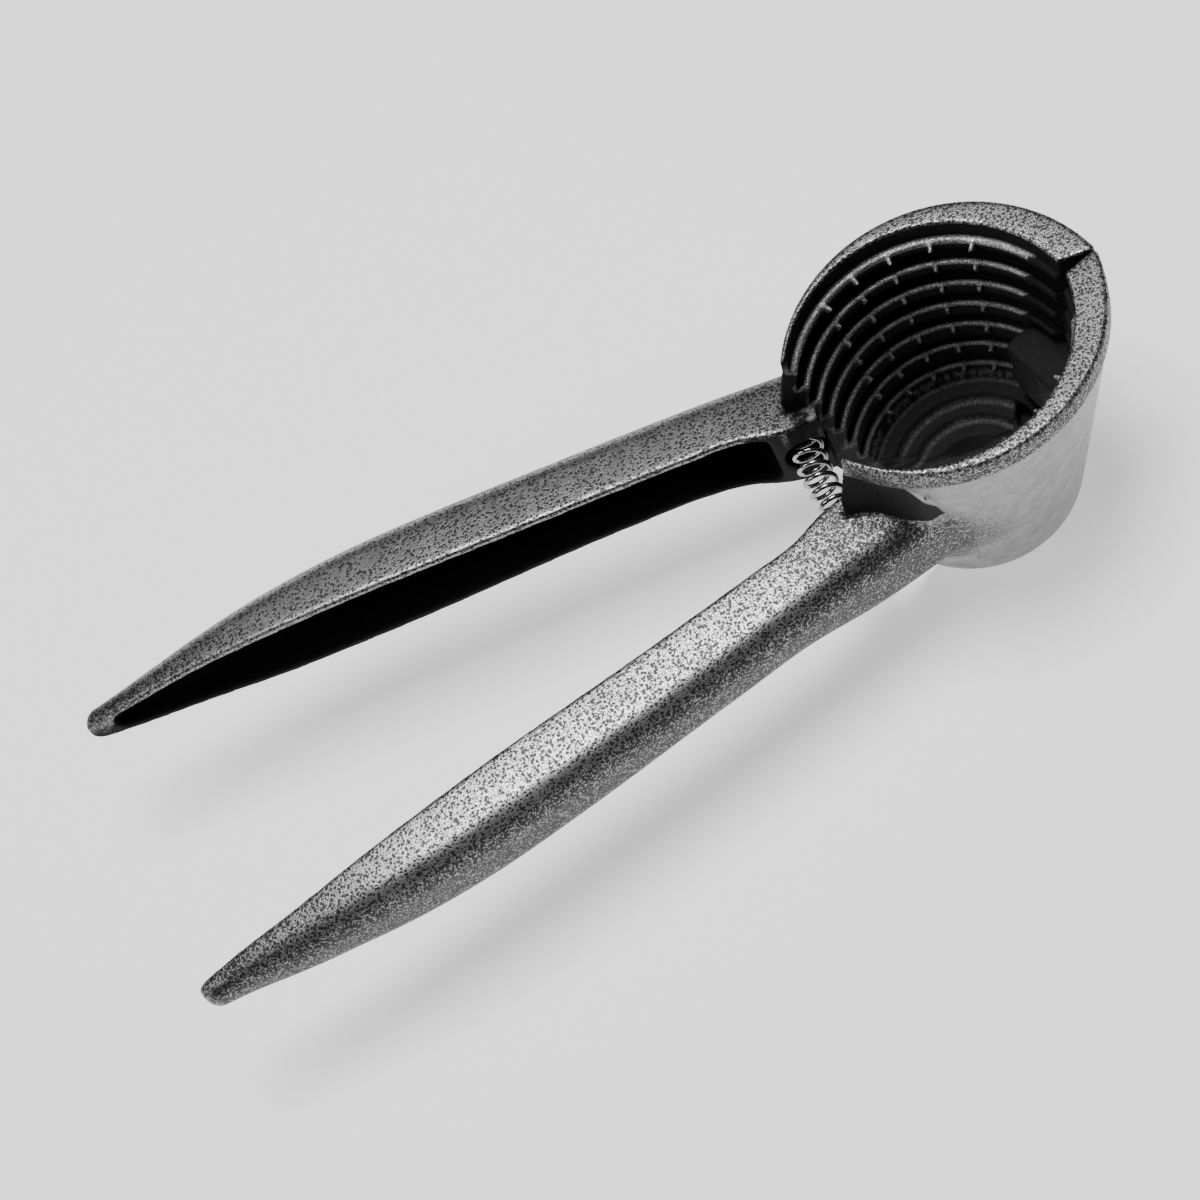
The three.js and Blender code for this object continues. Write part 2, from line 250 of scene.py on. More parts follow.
class Profile:
    """A closed outline in radius and height as a table of distances, negative inside."""
    SPACING = 0.1
    REACH = (34.0, 56.0)
    BELOW = 4.0

    def __init__(self, outline, softness):
        radius = np.arange(0, self.REACH[0], self.SPACING)[:, None]
        height = np.arange(-self.BELOW, self.REACH[1], self.SPACING)[None, :]
        nearest = np.full((radius.size, height.size), 1e9)
        inside = np.zeros(nearest.shape, bool)
        for (x0, y0), (x1, y1) in zip(outline, outline[1:] + outline[:1]):
            ex, ey = x1 - x0, y1 - y0
            along = np.clip(((radius - x0) * ex + (height - y0) * ey) / (ex * ex + ey * ey), 0, 1)
            nearest = np.minimum(nearest, np.hypot(radius - x0 - along * ex, height - y0 - along * ey))
            if y0 != y1:
                inside ^= ((y0 > height) != (y1 > height)) & (radius < x0 + (height - y0) * ex / ey)
        table = np.where(inside, -nearest, nearest)
        for _ in range(softness):
            table = self.soften(table)
        self.table = table.astype(np.float32)

    @staticmethod
    def soften(table):
        """One pass of a small blur, which rounds the outline's corners."""
        wide = np.pad(table, 1, mode="edge")
        rows = (wide[:-2, 1:-1] + 2 * wide[1:-1, 1:-1] + wide[2:, 1:-1]) / 4
        wide = np.pad(rows, 1, mode="edge")
        return (wide[1:-1, :-2] + 2 * wide[1:-1, 1:-1] + wide[1:-1, 2:]) / 4

    def __call__(self, radius, height):
        """The distance at each radius and height, read between the table's points."""
        column = np.clip(radius / self.SPACING, 0, self.table.shape[0] - 1.001)
        row = np.clip((height + self.BELOW) / self.SPACING, 0, self.table.shape[1] - 1.001)
        column, row = np.broadcast_arrays(column, row)
        i, j = column.astype(np.int32), row.astype(np.int32)
        a, b = column - i, row - j
        table = self.table
        low = table[i, j] * (1 - a) + table[i + 1, j] * a
        high = table[i, j + 1] * (1 - a) + table[i + 1, j + 1] * a
        return low * (1 - b) + high * b


def arc_points(centre, radius, start, end, steps):
    """Points along an arc, from one angle in degrees to another."""
    angles = np.radians(np.linspace(start, end, steps))
    return [(centre[0] + radius * math.cos(a), centre[1] + radius * math.sin(a)) for a in angles]


def outer_outline():
    """Base, cone and the upright band under the rim."""
    band_bottom = CUP_HEIGHT - RIM_BAND
    outline = [(0, 0)]
    outline += arc_points((BASE_CORNER_RADIUS, BASE_ROUNDING), BASE_ROUNDING, -90, -12, 7)
    outline += [(RIM_RADIUS - RIM_STEP, band_bottom - RIM_STEP), (RIM_RADIUS, band_bottom)]
    rim_corner = (RIM_RADIUS - RIM_ROUNDING, CUP_HEIGHT - RIM_ROUNDING)
    outline += arc_points(rim_corner, RIM_ROUNDING, 0, 90, 5)
    return outline + [(0, CUP_HEIGHT)]


def cavity_outline():
    """Floor rings, then ledges: a dished tread, an upright nose, a riser that runs back outwards."""
    outline = [(0, FLOOR_HEIGHT)]
    inner, level = FLOOR_RADIUS, FLOOR_HEIGHT
    for radius, height in reversed(FLOOR_RINGS):
        outline += [(inner, level), (inner + RING_SLOPE, height)]
        inner, level = radius, height
    outline.append((inner, level))
    for ledge in reversed(range(LEDGE_COUNT)):
        height = CUP_HEIGHT - FIRST_LEDGE_DEPTH - ledge * LEDGE_PITCH
        radius = FIRST_LEDGE_RADIUS - ledge * LEDGE_RADIUS_STEP
        nose_top = (radius + LEDGE_NOSE, height + 0.1)
        outline += [(radius, height - LEDGE_LIP), (radius, height), nose_top]
        if ledge == 0:
            outline.append((MOUTH_RADIUS - 0.1, height + 0.2))
            continue
        back = radius + LEDGE_WIDTH - ledge * LEDGE_WIDTH_STEP
        tread = height - TREAD_DISH
        outline += [(back - 0.4, tread), (back, tread), (back + 0.1, height + 0.8)]
    return outline + [(MOUTH_RADIUS, CUP_HEIGHT + 3), (0, CUP_HEIGHT + 3)]


outer_profile = Profile(outer_outline(), 6)
cavity_profile = Profile(cavity_outline(), 5)
handle_outer = smooth_line(HANDLE_OUTER)
handle_top = smooth_line(HANDLE_TOP)
handle_bottom = smooth_line(HANDLE_BOTTOM)
handle_inner = smooth_line(HANDLE_INNER)
web_radius = straight_line(WEB_PROFILE)


def leaning_radius(centre, u, v, z):
    """Distance from an axis that leans between its places at the base and at the rim."""
    share = z / CUP_HEIGHT
    base, rim = centre["base"], centre["rim"]
    middle = [base[axis] + (rim[axis] - base[axis]) * share for axis in (0, 1)]
    return np.hypot(u - middle[0], v - middle[1])


def web(u, v, z):
    """The upright wall on the handle's side of the cup, from its foot up to the rim band."""
    reach = np.hypot(u - WALL_CENTRE["rim"][0], v - WALL_CENTRE["rim"][1])
    below_band = CUP_HEIGHT - RIM_BAND - z
    flare = WEB_FLARE + WEB_FLARE_SLOPE * np.clip(below_band, 0, WEB_FLARE_REACH)
    above_spring = flare * np.clip((z - WEB_FLARE_BOTTOM) / WEB_FLARE_RISE, 0, 1)
    below_spring = WEB_FOOT_FLARE * np.clip(WEB_FOOT_TOP - z, 0, 1)
    near_parting = np.clip(1 - v / WEB_FLARE_DEPTH, 0, 1) ** 2
    wall = reach - web_radius(z) - (above_spring + below_spring) * near_parting
    side = np.minimum(WEB_SIDE + WEB_SIDE_LEAN * below_band, handle_outer(u) - WEB_SIDE_INSET)
    wall = round_cut(wall, v - side, EDGE)
    wall = round_cut(wall, -below_band, SMALL_EDGE)
    return np.maximum(np.maximum(wall, u - WEB_LIMIT), WEB_PROFILE[0][0] - z)


def handle_shape(u, v, z, inset):
    """The handle without its open side; inset moves every wall inwards."""
    across = np.maximum(v - handle_inner(u), 0) / HANDLE_WIDTH
    top = z - handle_top(u) + CROWN * across ** 1.5 + inset
    bottom = handle_bottom(u) - z + inset
    outer = v - handle_outer(u) + inset
    thickness = SHOULDER_SHARE * (handle_outer(u) - handle_inner(u))
    shape = round_cut(outer, top, np.minimum(SHOULDER, thickness) - inset)
    return round_cut(shape, bottom, np.minimum(LOWER_SHOULDER, thickness) - inset)


def outside(u, v, z):
    """Cup and handle as two solids, before anything is cut out of them."""
    cup = outer_profile(leaning_radius(WALL_CENTRE, u, v, z), z)
    cup = round_join(cup, web(u, v, z), EDGE)
    handle = round_cut(handle_shape(u, v, z, 0), HANDLE_END - u, END_ROUNDING)
    handle = round_cut(handle, u - HANDLE_ROOT, ROOT_ROUNDING)
    return cup, handle


def upright(u, v, radius):
    """Distance from a cylinder about the hinge axis."""
    return np.hypot(u - CUP_TO_HINGE, v + PARTING_OFFSET) - radius


def between(z, low, high):
    """Distance from the layer between two heights."""
    return np.maximum(low - z, z - high)


def nose_of(ledge):
    """Radius and height of a ledge's nose, and the place of the cavity's axis there."""
    height = CUP_HEIGHT - FIRST_LEDGE_DEPTH - ledge * LEDGE_PITCH
    share = height / CUP_HEIGHT
    base, rim = CAVITY_CENTRE["base"], CAVITY_CENTRE["rim"]
    centre = [base[axis] * (1 - share) + rim[axis] * share for axis in (0, 1)]
    return FIRST_LEDGE_RADIUS - ledge * LEDGE_RADIUS_STEP, height, centre


def window_slice(axis, place):
    """The grid's points near a tooth, along one axis."""
    return slice(np.searchsorted(axis, place - TOOTH_WINDOW), np.searchsorted(axis, place + TOOTH_WINDOW))


def add_teeth(field, axes):
    """Small wedges that stand inwards from each nose, joined in a small window of the field each."""
    for ledge in range(LEDGE_COUNT):
        nose, height, centre = nose_of(ledge)
        top = height - TOOTH_DROP
        reach_in = TOOTH_REACH[min(ledge, 1)]
        for degrees in TOOTH_ANGLES:
            along = (math.cos(math.radians(degrees)), math.sin(math.radians(degrees)))
            middle = (centre[0] + nose * along[0], centre[1] + nose * along[1], top - TOOTH_HEIGHT / 2)
            window = [window_slice(axis, place) for axis, place in zip(axes, middle)]
            u, v, z = np.ix_(axes[0][window[0]], axes[1][window[1]], axes[2][window[2]])
            du, dv = u - centre[0], v - centre[1]
            reach = du * along[0] + dv * along[1]
            slope = reach_in / TOOTH_HEIGHT
            front = (nose - reach_in - reach + slope * (top - z)) / math.hypot(1, slope)
            wedge = round_cut(front, z - top, TOOTH_EDGE)
            wedge = np.maximum(wedge, np.maximum(reach - nose - 1.0, top - TOOTH_HEIGHT - z))
            width = np.abs(dv * along[0] - du * along[1]) - TOOTH_HALF_WIDTH
            wedge = round_cut(wedge, width, SIDE_EDGE)
            field[tuple(window)] = round_join(field[tuple(window)], wedge, SMALL_EDGE)


def common_field(u, v, z, axes):
    """What both halves share: cup and handle, parting faces, cavity, teeth, channel and spring seat."""
    cup, handle = outside(u, v, z)
    on_floor = (z < FLOOR_LIP_TOP) & (u > FLOOR_LIP_ENDS[0]) & (u < FLOOR_LIP_ENDS[1])
    lip = np.where(on_floor, FLOOR_LIP, 0)
    cup = round_cut(cup, -v - lip, PARTING_EDGE)
    handle = round_cut(handle, handle_inner(u) - v, EDGE)
    hollow = handle_shape(u, v, z, CHANNEL_WALL)
    hollow = round_cut(hollow, CHANNEL_ENDS[0] - u, CHANNEL_ROUNDINGS[0])
    hollow = round_cut(hollow, u - CHANNEL_ENDS[1], CHANNEL_ROUNDINGS[1])
    handle = round_cut(handle, -hollow, SMALL_EDGE)
    seat = np.hypot(u - CUP_TO_HINGE + SPRING_ARC_RADIUS, z - SPRING_AXIS_HEIGHT) - SEAT_RADIUS
    seat = round_cut(seat, v - SEAT_FLOOR, PARTING_EDGE)
    handle = round_cut(handle, -seat, SEAT_EDGE)
    field = round_join(cup, handle, HANDLE_FILLET)
    cavity = cavity_profile(leaning_radius(CAVITY_CENTRE, u, v, z), z)
    field = round_cut(field, -cavity, SMALL_EDGE)
    add_teeth(field, axes)
    return round_cut(field, np.where(u > PARTING_END, -v - lip, BEYOND_PARTING - v), FINE_EDGE)


def half_field(shared, u, v, z, own_knuckles, other_knuckles):
    """One half: the shared field with its own knuckles and room for the other half's."""
    field = shared
    for low, high in other_knuckles:
        room = between(z, low - KNUCKLE_GAP / 2, high + KNUCKLE_GAP / 2)
        pocket = round_cut(upright(u, v, KNUCKLE_RADIUS + KNUCKLE_GAP), room, FINE_EDGE)
        field = round_cut(field, -pocket, FINE_EDGE)
    wall = outer_profile(leaning_radius(WALL_CENTRE, u, v, z), z)
    for low, high in own_knuckles:
        span = between(z, low, high)
        inner_face = CUP_TO_HINGE - KNUCKLE_INNER_FACE - u
        ear = round_cut(upright(u, v, KNUCKLE_RADIUS), inner_face, SMALL_EDGE)
        ear = round_join(np.maximum(ear, wall), upright(u, v, BARREL_RADIUS), SMALL_EDGE)
        field = round_join(field, round_cut(ear, span, SIDE_EDGE), SMALL_EDGE)
    bore = round_cut(upright(u, v, PIN_BORE), z - BORE_TOP, 0.1)
    field = round_cut(field, -bore, BORE_EDGE)
    cosine, sine = math.cos(OPEN_HALF_ANGLE), math.sin(OPEN_HALF_ANGLE)
    from_middle = (v + PARTING_OFFSET) * cosine - (u - CUP_TO_HINGE) * sine
    stop = np.maximum(STOP_CLEARANCE - from_middle, STOP_BOTTOM - z)
    return round_cut(field, np.where(u > STOP_START, stop, -1.0), FINE_EDGE)


# ---- meshing ----------------------------------------------------------------------------
CORNERS = [(i, j, k) for i in (0, 1) for j in (0, 1) for k in (0, 1)]


def corner_slice(corner):
    """The slices that read one corner of every cell of the grid."""
    return tuple(slice(1, None) if bit else slice(None, -1) for bit in corner)


def cell_points(field, axes, cells):
    """In each cell, the middle of the places where the surface crosses the cell's edges."""
    total = np.zeros((len(cells), 3))
    hits = np.zeros(len(cells))
    for corner in CORNERS:
        for axis in range(3):
            if corner[axis]:
                continue
            near = cells + np.array(corner)
            far = near.copy()
            far[:, axis] += 1
            a, b = field[tuple(near.T)], field[tuple(far.T)]
            crossed = (a < 0) != (b < 0)
            share = np.where(crossed, a / np.where(crossed, a - b, 1), 0)
            for other in range(3):
                start, end = axes[other][near[:, other]], axes[other][far[:, other]]
                total[:, other] += np.where(crossed, start + (end - start) * share, 0)
            hits += crossed
    return total / hits[:, None]


def edge_quads(inside, number):
    """One quad round every edge of the grid that the surface crosses, facing outwards."""
    quads = []
    for axis in range(3):
        low = [slice(None)] * 3
        high = [slice(None)] * 3
        low[axis], high[axis] = slice(None, -1), slice(1, None)
        edges = np.argwhere(inside[tuple(low)] != inside[tuple(high)])
        first, second = [other for other in (0, 1, 2) if other != axis]
        ring = []
        for back_first, back_second in ((1, 1), (0, 1), (0, 0), (1, 0)):
            cell = edges.copy()
            cell[:, first] -= back_first
            cell[:, second] -= back_second
            ring.append(number[tuple(cell.T)])
        ring = np.stack(ring, 1)
        outward = inside[tuple(edges.T)] ^ (axis == 1)
        ring[~outward] = ring[~outward][:, ::-1]
        quads.append(ring)
    return np.concatenate(quads)


def surface_nets(field, axes):
    """The surface where the field is zero: one point in every cell that it crosses, and quads."""
    inside = field < 0
    count = sum(inside[corner_slice(corner)].astype(np.uint8) for corner in CORNERS)
    cells = np.argwhere((count > 0) & (count < len(CORNERS)))
    number = np.full(count.shape, -1, np.int64)
    number[tuple(cells.T)] = np.arange(len(cells))
    return cell_points(field, axes, cells), edge_quads(inside, number)


def mesh_from(name, points, faces):
    """A mesh object from arrays of points and of faces with equally many corners."""
    mesh = bpy.data.meshes.new(name)
    corners = faces.shape[1]
    mesh.vertices.add(len(points))
    mesh.vertices.foreach_set("co", np.asarray(points, np.float32).ravel())
    mesh.loops.add(faces.size)
    mesh.loops.foreach_set("vertex_index", faces.astype(np.int32).ravel())
    mesh.polygons.add(len(faces))
    mesh.polygons.foreach_set("loop_start", np.arange(0, faces.size, corners, dtype=np.int32))
    mesh.update(calc_edges=True)
    mesh.polygons.foreach_set("use_smooth", np.ones(len(faces), bool))
    piece = bpy.data.objects.new(name, mesh)
    bpy.context.scene.collection.objects.link(piece)
    return piece


def apply_modifiers(piece):
    """Replaces the piece's mesh with the result of its modifiers."""
    evaluated = piece.evaluated_get(bpy.context.evaluated_depsgraph_get())
    mesh = bpy.data.meshes.new_from_object(evaluated)
    piece.modifiers.clear()
    piece.data = mesh
    mesh.polygons.foreach_set("use_smooth", np.ones(len(mesh.polygons), bool))


def thin_out(piece, share, kept):
    """Fewer faces everywhere except at the kept points."""
    group = piece.vertex_groups.new(name="kept")
    group.add(kept.tolist(), 1.0, "REPLACE")
    modifier = piece.modifiers.new("thin", "DECIMATE")
    modifier.ratio = share
    modifier.vertex_group = group.name
    modifier.invert_vertex_group = True
    apply_modifiers(piece)
    piece.vertex_groups.clear()


def coordinates(mesh):
    """The mesh's points as rows of three numbers."""
    flat = np.empty(len(mesh.vertices) * 3, np.float32)
    mesh.vertices.foreach_get("co", flat)
    return flat.reshape(-1, 3).astype(float)


def set_attribute(mesh, name, values):
    """Stores one number for each point, which a material can read by its name."""
    attribute = mesh.attributes.new(name, "FLOAT", "POINT")
    attribute.data.foreach_set("value", np.asarray(values, np.float32))


# ---- castings ---------------------------------------------------------------------------
FINE, COARSE = 0.38, 1.1
TIP_STEP = 0.5
KEPT_SHARE = 0.42
FACET_EDGE = 0.7
# The grid is fine about the cup and at the handle's tip, and coarse along the handle.
TIP_TO_HANDLE, HANDLE_TO_CUP = -148, -36
U_AXIS_PARTS = [
    np.arange(-158.6, TIP_TO_HANDLE, TIP_STEP),
    np.arange(TIP_TO_HANDLE, HANDLE_TO_CUP, COARSE),
    np.arange(HANDLE_TO_CUP, 28.6, FINE),
]
GRID_AXES = (
    np.concatenate(U_AXIS_PARTS),
    np.arange(-11.6, 20.0, FINE),
    np.arange(-0.7, CUP_HEIGHT + 1, FINE),
)

# Places along u and distances that part the zones of the enamel.
FACET_END = -6.0
FLANGE_START = -37
WEB_BACK = -28
WALL_BACK = -20
SKIN = 0.3
CAVITY_DEPTHS = (-2.2, 0.5)
ZONE_BLEND = 4

# The enamel's grain on the rim's side and top, and along the handle; the side's extra grain over the top's,
# and the extra grain towards the handle's tip, root and sides, are painted shade.
# Each end of the handle has the place where its painted shade starts to grow and the length over which it
# does.
RIM_GRAIN_AND_SHADE = (0.95, 0.62)
HANDLE_GRAIN = 0.34
TIP_SHADE = 0.6
ROOT_SHADE = 0.4
SIDE_SHADE = 0.75
MOST_GRAIN = 1.15
TIP_SHADE_GROWTH = (-120, 30)
ROOT_SHADE_GROWTH = (-48, 16)


def to_world(points, side):
    """From a closed half's own axes to the open place in the frame, in metres."""
    x = points[:, 0] - CUP_TO_HINGE
    y = points[:, 1] + PARTING_OFFSET
    cosine, sine = math.cos(OPEN_HALF_ANGLE), math.sin(OPEN_HALF_ANGLE)
    placed = np.stack([x * cosine + y * sine + HINGE[0], side * (y * cosine - x * sine), points[:, 2]], 1)
    return placed * MM


def facet_depth(u, v, z):
    """How far inside the web's facet a point lies: below the rim band, above the handle. The facet is
    painted dark, a painted reflection.
    """
    _, handle = outside(u, v, z)
    below_band = CUP_HEIGHT - RIM_BAND - z
    side = WEB_SIDE + WEB_SIDE_LEAN * below_band - v
    on_web = 0.6 - np.abs(web(u, v, z))
    above_handle = z - handle_top(u) + 1.0
    limits = [below_band - 0.2, side, handle - 0.3, on_web, above_handle, FACET_END - u]
    return np.minimum.reduce(limits)


def ledge_highlights(u, v, z):
    """Painted highlights where the edges catch the light: the ledges' noses, their teeth and their ends at
    the parting face, and the floor rings' edges, fainter further down as painted shade.
    """
    inner = leaning_radius(CAVITY_CENTRE, u, v, z)
    near_wall = np.abs(cavity_profile(inner, z)) < 0.5
    lit_edges = np.zeros(len(z))
    for ledge in range(LEDGE_COUNT):
        nose, height, _ = nose_of(ledge)
        from_edge = np.hypot(inner - nose - HIGHLIGHT_OFFSET, (z - height + 0.1) * 1.3)
        width = FIRST_HIGHLIGHT_WIDTH if ledge == 0 else HIGHLIGHT_WIDTH
        nose_line = np.clip(HIGHLIGHT_SPREAD - from_edge / width, 0, 1)
        tooth = (z > height - TOOTH_HEIGHT) & (z < height + 0.2) & (inner < nose - 0.3)
        end = near_wall & (v < 0.4) & (z > height - 1.0) & (z < height + 1.4)
        highlit = np.maximum(nose_line, np.where(tooth | end, TOOTH_SHARE, 0))
        lit_edges = np.maximum(lit_edges, LEDGE_HIGHLIGHT[ledge] * highlit)
    for radius, height in FLOOR_RINGS:
        from_edge = np.hypot(inner - radius - HIGHLIGHT_OFFSET, z - height)
        lit_edges = np.maximum(lit_edges, RING_HIGHLIGHT * np.clip(HIGHLIGHT_SPREAD - from_edge / HIGHLIGHT_WIDTH, 0, 1))
    in_cavity = (inner < MOUTH_RADIUS + 1.2) & (z < CUP_HEIGHT - 2.0)
    from_hinge = np.hypot(u - CUP_TO_HINGE, v + PARTING_OFFSET)
    return np.where(in_cavity & (from_hinge > KNUCKLE_RADIUS + 0.8), lit_edges, 0)


def grain_and_shade_density(u, z, cup, handle):
    """How dense the dark grain is, painted shade included: on the handle it grows towards the tip, the root
    and the sides.
    """
    tip = np.clip((TIP_SHADE_GROWTH[0] - u) / TIP_SHADE_GROWTH[1], 0, 1)
    root = np.clip((u - ROOT_SHADE_GROWTH[0]) / ROOT_SHADE_GROWTH[1], 0, 1)
    below_top = np.clip((handle_top(u) - z - 1.6) / 2.0, 0, 1)
    above_bottom = np.clip((z - handle_bottom(u) - 1.5) / 3.0, 0, 1)
    shaded_side = below_top * above_bottom
    # Painted shade: more dark grain towards the handle's tip, root and sides, and more on the rim's side
    # than on its top.
    on_handle = HANDLE_GRAIN + TIP_SHADE * tip + ROOT_SHADE * root + SIDE_SHADE * shaded_side
    on_rim = np.where(z < CUP_HEIGHT - 0.4, RIM_GRAIN_AND_SHADE[0], RIM_GRAIN_AND_SHADE[1])
    share = np.clip(0.2 + (np.abs(cup) - np.abs(handle)) / ZONE_BLEND, 0, 1)
    return on_rim + (np.clip(on_handle, 0, MOST_GRAIN) - on_rim) * share


def inner_shade_zone(u, v, z, cup, handle):
    """The share of near-black painted shade: on what lies under the outer skin, such as the cavity and the
    channel, and on the parting faces, where it is partly their own darker face and partly painted shade.
    """
    skin = np.minimum(np.abs(cup), np.abs(handle))
    cavity = cavity_profile(leaning_radius(CAVITY_CENTRE, u, v, z), z)
    in_cavity = (cavity > CAVITY_DEPTHS[0]) & (cavity < CAVITY_DEPTHS[1])
    in_cavity &= (np.abs(cup) > SKIN) & (z < CUP_HEIGHT - 0.5)
    upper = z > (handle_top(u) + handle_bottom(u)) / 2
    on_flange = (np.abs(v - handle_inner(u)) < 0.35) & (u < FLANGE_START) & upper
    lower_flange = (v < handle_inner(u) + 1.0) & (u < FLANGE_START) & ~upper
    inner_face = np.where(u < WEB_BACK, handle_inner(u) + 0.4, 0.35)
    at_parting = (v < inner_face) & (u > FLANGE_START) & (z < CUP_HEIGHT - 0.3)
    at_parting &= (u > WEB_BACK) | (z < handle_top(u) - 0.8)
    at_parting &= (np.abs(cup) > 0.4) | (u < WALL_BACK)
    inner_shade = np.where(on_flange, 0, np.clip((skin - SKIN) / SKIN, 0, 1))
    return np.where(in_cavity | at_parting | lower_flange, 1, inner_shade)


def mark_zones(mesh, local):
    """Writes the zones of the casting's enamel, with its painted shade, painted reflection and painted
    highlights, as values at the mesh's points.
    """
    u, v, z = local.T
    cup, handle = outside(u, v, z)
    from_handle = np.clip((np.abs(handle) - np.abs(cup)) / ZONE_BLEND, 0, 1)
    on_cone = np.where((np.abs(cup) < SKIN) & (z < CUP_HEIGHT - RIM_BAND), from_handle, 0)
    set_attribute(mesh, "inner_shade", inner_shade_zone(u, v, z, cup, handle))
    set_attribute(mesh, "facet", np.clip(facet_depth(u, v, z), -1, 1))
    set_attribute(mesh, "edge_highlight", ledge_highlights(u, v, z))
    set_attribute(mesh, "calm", on_cone)
    set_attribute(mesh, "grain_and_shade", grain_and_shade_density(u, z, cup, handle))


def casting(name, node, body, side, shared, own_knuckles, other_knuckles, material):
    """One half of the nutcracker; side is 1 for the left half and -1 for its mirror image."""
    u, v, z = np.ix_(*GRID_AXES)
    field = half_field(shared, u, v, z, own_knuckles, other_knuckles)
    local, faces = surface_nets(field, GRID_AXES)
    piece = mesh_from(name, local, faces)
    facet_edge = np.flatnonzero(np.abs(facet_depth(*local.T)) < FACET_EDGE)
    thin_out(piece, KEPT_SHARE, facet_edge)
    local = coordinates(piece.data)
    mark_zones(piece.data, local)
    piece.data.vertices.foreach_set("co", to_world(local, side).astype(np.float32).ravel())
    if side < 0:
        piece.data.flip_normals()
    piece.data.update()
    piece.data.materials.append(material)
    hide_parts(node)
    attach(piece, body)


# ---- spring and pin -----------------------------------------------------------------------
def swept(name, centres, sideways, upward, radius, sides):
    """A round wire along the centres, closed at both ends."""
    angles = np.linspace(0, 2 * math.pi, sides, endpoint=False)
    cosines = np.cos(angles)[None, :, None]
    sines = np.sin(angles)[None, :, None]
    ring = radius * (cosines * sideways[:, None] + sines * upward[:, None])
    points = (centres[:, None] + ring).reshape(-1, 3)
    index = np.arange(len(centres) * sides).reshape(-1, sides)
    following = np.roll(index, -1, 1)
    quads = np.stack([index[:-1], following[:-1], following[1:], index[1:]], -1).reshape(-1, 4)
    faces = [list(quad) for quad in quads] + [list(index[0][::-1]), list(index[-1])]
    mesh = bpy.data.meshes.new(name)
    mesh.from_pydata(points.tolist(), [], [[int(corner) for corner in face] for face in faces])
    mesh.polygons.foreach_set("use_smooth", np.array([len(face) == 4 for face in faces]))
    piece = bpy.data.objects.new(name, mesh)
    bpy.context.scene.collection.objects.link(piece)
    return piece


def make_spring(material):
    """Round wire on an arc about the hinge axis, its end coils lying close in the seats."""
    half_length = (spring_high[1] - spring_low[1]) / 2 / MM
    half_angle = math.asin(min(1.0, half_length / SPRING_ARC_RADIUS)) - SPRING_END_ANGLE
    mean_radius = (spring_high[2] - spring_low[2]) / 2 / MM - SPRING_WIRE_RADIUS
    t = np.linspace(0, 1, SPRING_TURNS * SPRING_STEPS_PER_TURN + 1)
    turn = 2 * math.pi * SPRING_TURNS * t
    along = half_angle * (2 * t - 1)
    reach = SPRING_ARC_RADIUS + mean_radius * np.cos(turn)
    centres = np.stack([HINGE[0] - reach * np.cos(along), -reach * np.sin(along),
                        SPRING_AXIS_HEIGHT + mean_radius * np.sin(turn)], 1)
    outwards = np.stack([-np.cos(turn) * np.cos(along), -np.cos(turn) * np.sin(along), np.sin(turn)], 1)
    forward = np.gradient(centres, axis=0)
    forward /= np.linalg.norm(forward, axis=1, keepdims=True)
    across = np.cross(forward, outwards)
    across /= np.linalg.norm(across, axis=1, keepdims=True)
    piece = swept("return_spring", centres * MM, outwards, across, SPRING_WIRE_RADIUS * MM, WIRE_SIDES)
    piece.data.materials.append(material)
    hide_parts("spring")
    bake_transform(piece)


def turned(profile, sides):
    """Points and faces of an outline turned about the hinge axis; a place on the axis is one point."""
    points, faces, rows = [], [], []
    for reach, height in profile:
        row = []
        for step in range(sides if reach > 0 else 1):
            angle = 2 * math.pi * step / sides
            row.append(len(points))
            points.append((HINGE[0] * MM + reach * math.cos(angle), reach * math.sin(angle), height))
        rows.append(row * (sides if len(row) == 1 else 1))
    for lower, upper in zip(rows, rows[1:]):
        for step in range(sides):
            following = (step + 1) % sides
            corners = [lower[step], lower[following], upper[following], upper[step]]
            faces.append(list(dict.fromkeys(corners)))
    return points, faces


def make_pin(material):
    """Steel pin with a chamfered lower end and a domed upper end."""
    radius = (pin_high[0] - pin_low[0]) / 2
    bottom, top = pin_low[2], pin_high[2]
    chamfer = radius * PIN_CHAMFER
    profile = [(0, bottom), (radius - chamfer, bottom), (radius, bottom + chamfer)]
    profile += [(radius, top - chamfer)]
    profile += [(radius * math.cos(a), top - chamfer + chamfer * math.sin(a)) for a in np.radians((30, 60))]
    profile += [(0, top)]
    points, faces = turned(profile, PIN_SIDES)
    mesh = bpy.data.meshes.new("pivot_pin")
    mesh.from_pydata(points, [], faces)
    mesh.polygons.foreach_set("use_smooth", np.ones(len(faces), bool))
    mesh.set_sharp_from_angle(angle=math.radians(35))
    piece = bpy.data.objects.new("pivot_pin", mesh)
    bpy.context.scene.collection.objects.link(piece)
    mesh.materials.append(material)
    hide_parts("hinge_pin")
    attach(piece, "right")


